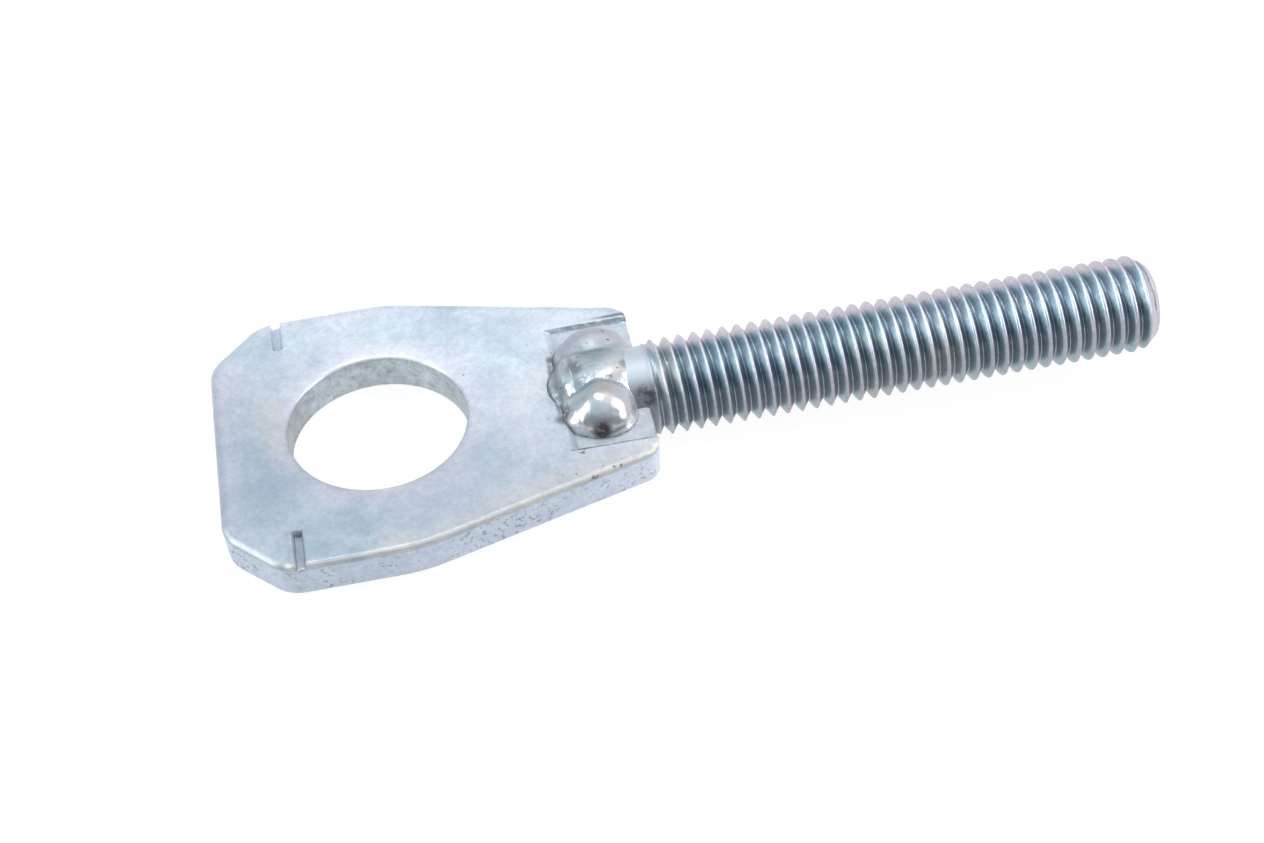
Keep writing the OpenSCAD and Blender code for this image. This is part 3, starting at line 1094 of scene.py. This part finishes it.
def weld_metal():
    """Bright plated weld metal, duller on the saddle and the far dome, and on its stains and painted shade.
    """
    paint = Paint("weld_bright")
    cloud = paint.noise(scale=260, detail=4, rough=0.6)
    grit = paint.noise(scale=1100, detail=4, rough=0.7)
    far = paint.fade_mm(paint.y, 2.4, 4.4)
    middle = paint.times(paint.fade_mm(paint.y, -1.6, -0.6), paint.fade_mm(paint.y, 4.0, 2.6))
    paint.colour = paint.ramp(cloud, WELD_CLOUDS)
    weld_tints(paint, cloud, far)
    stains_and_shade = weld_stains_and_shade(paint, grit)
    dull = paint.plus(paint.times(paint.most(far, middle), 0.28), paint.times(stains_and_shade, 0.3))
    paint.bump(grit, 0.15, 0.00004)
    return paint.finish(WELD_METALLIC, paint.plus(WELD_ROUGHNESS, dull))


# Studio

FLOOR_HALF = 30
FLOOR_GAP = 0.05
FLOOR_WHITE = 0.94
FLOOR_FAINT = (0.12, 0.12, 0.12)
FLOOR_TONES = [(0.0, (0.52, 0.54, 0.60)), (1.0, (0.84, 0.81, 0.84))]
FLOOR_TONES_END = 0.22

# The room's light by height, behind the object and on the camera's side, and from left to right
ROOM_REAR = [
    (0.0, (0.62, 0.62, 0.64)),
    (0.30, (0.50, 0.53, 0.56)),
    (0.64, (0.44, 0.48, 0.52)),
    (0.88, (0.80, 0.83, 0.90)),
    (1.0, (0.80, 0.83, 0.90)),
]
ROOM_FRONT = [
    (0.0, (0.30, 0.30, 0.34)),
    (0.16, (0.05, 0.07, 0.09)),
    (0.56, (0.07, 0.11, 0.14)),
    (0.84, (0.34, 0.44, 0.50)),
    (1.0, (0.70, 0.75, 0.80)),
]
ROOM_ACROSS = [
    (0.0, (0.55, 0.72, 0.80)),
    (0.40, (0.80, 0.92, 0.98)),
    (0.60, (1.05, 1.00, 1.03)),
    (1.0, (1.20, 1.10, 1.16)),
]

# Lamps: name, place and aim in metres, size, power in watts and roll in degrees
LAMPS = [
    ("panel_right", (0.40, -0.12, 0.28), (0.03, 0, 0), (0.09, 0.42), 1.6, -30),
    ("panel_left", (-0.40, -0.02, 0.24), (0.03, 0, 0), (0.10, 0.42), 1.15, 30),
    ("softbox_top", (0.0, 0.16, 0.46), (0.02, 0, 0), (0.10, 0.08), 0.35, 0),
]


def make_camera():
    """The camera that took the photograph."""
    data = bpy.data.cameras.new("camera")
    data.lens = LENS
    data.sensor_width = SENSOR
    data.shift_x = (PHOTO_W / 2 - CENTRE_PX[0]) / PHOTO_W
    data.shift_y = (CENTRE_PX[1] - PHOTO_H / 2) / PHOTO_W
    data.clip_start = CLIP_START
    obj = bpy.data.objects.new("camera", data)
    bpy.context.scene.collection.objects.link(obj)
    forward = Vector(VIEW_DIR).normalized()
    right = forward.cross(Vector(VIEW_UP)).normalized()
    turn = Matrix((right, right.cross(forward), -forward)).transposed()
    obj.matrix_world = Matrix.Translation(Vector(CAMERA_AT) * MM) @ turn.to_4x4()
    bpy.context.scene.camera = obj


def floor_material():
    """White to the camera and in reflections, and a plain pale floor to all other light."""
    material = bpy.data.materials.new("floor_white")
    material.use_nodes = True
    nodes = Nodes(material.node_tree)
    nodes.tree.nodes.clear()
    across = nodes.axes(nodes.add("ShaderNodeTexCoord").outputs["Object"])[0]
    plain = nodes.add("ShaderNodeBsdfDiffuse")
    nodes.feed(plain.inputs["Color"], nodes.ramp(nodes.fade(across, 0.0, FLOOR_TONES_END), FLOOR_TONES))
    white = nodes.add("ShaderNodeEmission")
    nodes.feed(white.inputs["Strength"], FLOOR_WHITE)
    faint = nodes.add("ShaderNodeBsdfDiffuse")
    nodes.feed(faint.inputs["Color"], FLOOR_FAINT)
    seen = nodes.add("ShaderNodeAddShader")
    nodes.feed(seen.inputs[0], white.outputs[0])
    nodes.feed(seen.inputs[1], faint.outputs[0])
    rays = nodes.add("ShaderNodeLightPath").outputs
    choose = nodes.add("ShaderNodeMixShader")
    share = nodes.most(rays["Is Camera Ray"], rays["Is Glossy Ray"], rays["Is Transmission Ray"])
    nodes.feed(choose.inputs[0], share)
    nodes.feed(choose.inputs[1], plain.outputs[0])
    nodes.feed(choose.inputs[2], seen.outputs[0])
    nodes.feed(nodes.add("ShaderNodeOutputMaterial").inputs["Surface"], choose.outputs[0])
    return material


def make_floor():
    """The floor lies where the adjuster rests: on the plate's lower edge and the shank's inner end."""
    rest_x, rest_z = -HEAD_L, -TOP_Z
    slope = math.atan2(rest_z - (STUD_Z - SHANK_R), STUD_X - rest_x)
    mesh = bpy.data.meshes.new("floor")
    corners = [(-1, -1), (1, -1), (1, 1), (-1, 1)]
    mesh.from_pydata([(x * FLOOR_HALF, y * FLOOR_HALF, 0) for x, y in corners], [], [(0, 1, 2, 3)])
    mesh.materials.append(floor_material())
    obj = bpy.data.objects.new("floor", mesh)
    bpy.context.scene.collection.objects.link(obj)
    place = Vector((rest_x, 0, rest_z - FLOOR_GAP)) * MM
    obj.matrix_world = Matrix.Translation(place) @ Matrix.Rotation(slope, 4, "Y")


def make_room():
    """A grey room with a pale ceiling, dark on the camera's side and warmer to the right."""
    world = bpy.data.worlds.new("studio")
    bpy.context.scene.world = world
    world.use_nodes = True
    nodes = Nodes(world.node_tree)
    x, y, z = nodes.axes(nodes.add("ShaderNodeTexCoord").outputs["Generated"])
    room = nodes.mix(nodes.fade(y, -0.45, 0.15), nodes.ramp(z, ROOM_FRONT), nodes.ramp(z, ROOM_REAR))
    across = nodes.ramp(nodes.plus(nodes.times(x, 0.5), 0.5), ROOM_ACROSS)
    back = world.node_tree.nodes["Background"]
    nodes.feed(back.inputs["Color"], nodes.mix(1.0, room, across, "MULTIPLY"))
    nodes.feed(back.inputs["Strength"], 1.0)


def make_lamps():
    """A tall rolled panel on each side, and a small softbox behind and above."""
    for name, place, aim, size, power, roll in LAMPS:
        data = bpy.data.lights.new(name, "AREA")
        data.shape = "RECTANGLE"
        data.size, data.size_y = size
        data.energy = power
        obj = bpy.data.objects.new(name, data)
        bpy.context.scene.collection.objects.link(obj)
        obj.location = place
        aimed = (Vector(aim) - Vector(place)).to_track_quat("-Z", "Y")
        obj.rotation_euler = (aimed @ Quaternion((0, 0, 1), math.radians(roll))).to_euler()


def main():
    """Builds the studio and the four pieces."""
    bpy.context.scene.view_settings.view_transform = "Standard"
    make_camera()
    make_floor()
    make_room()
    make_lamps()
    make_plate(zinc_plate())
    make_stud(zinc_stud())
    make_welds(weld_metal())


main()
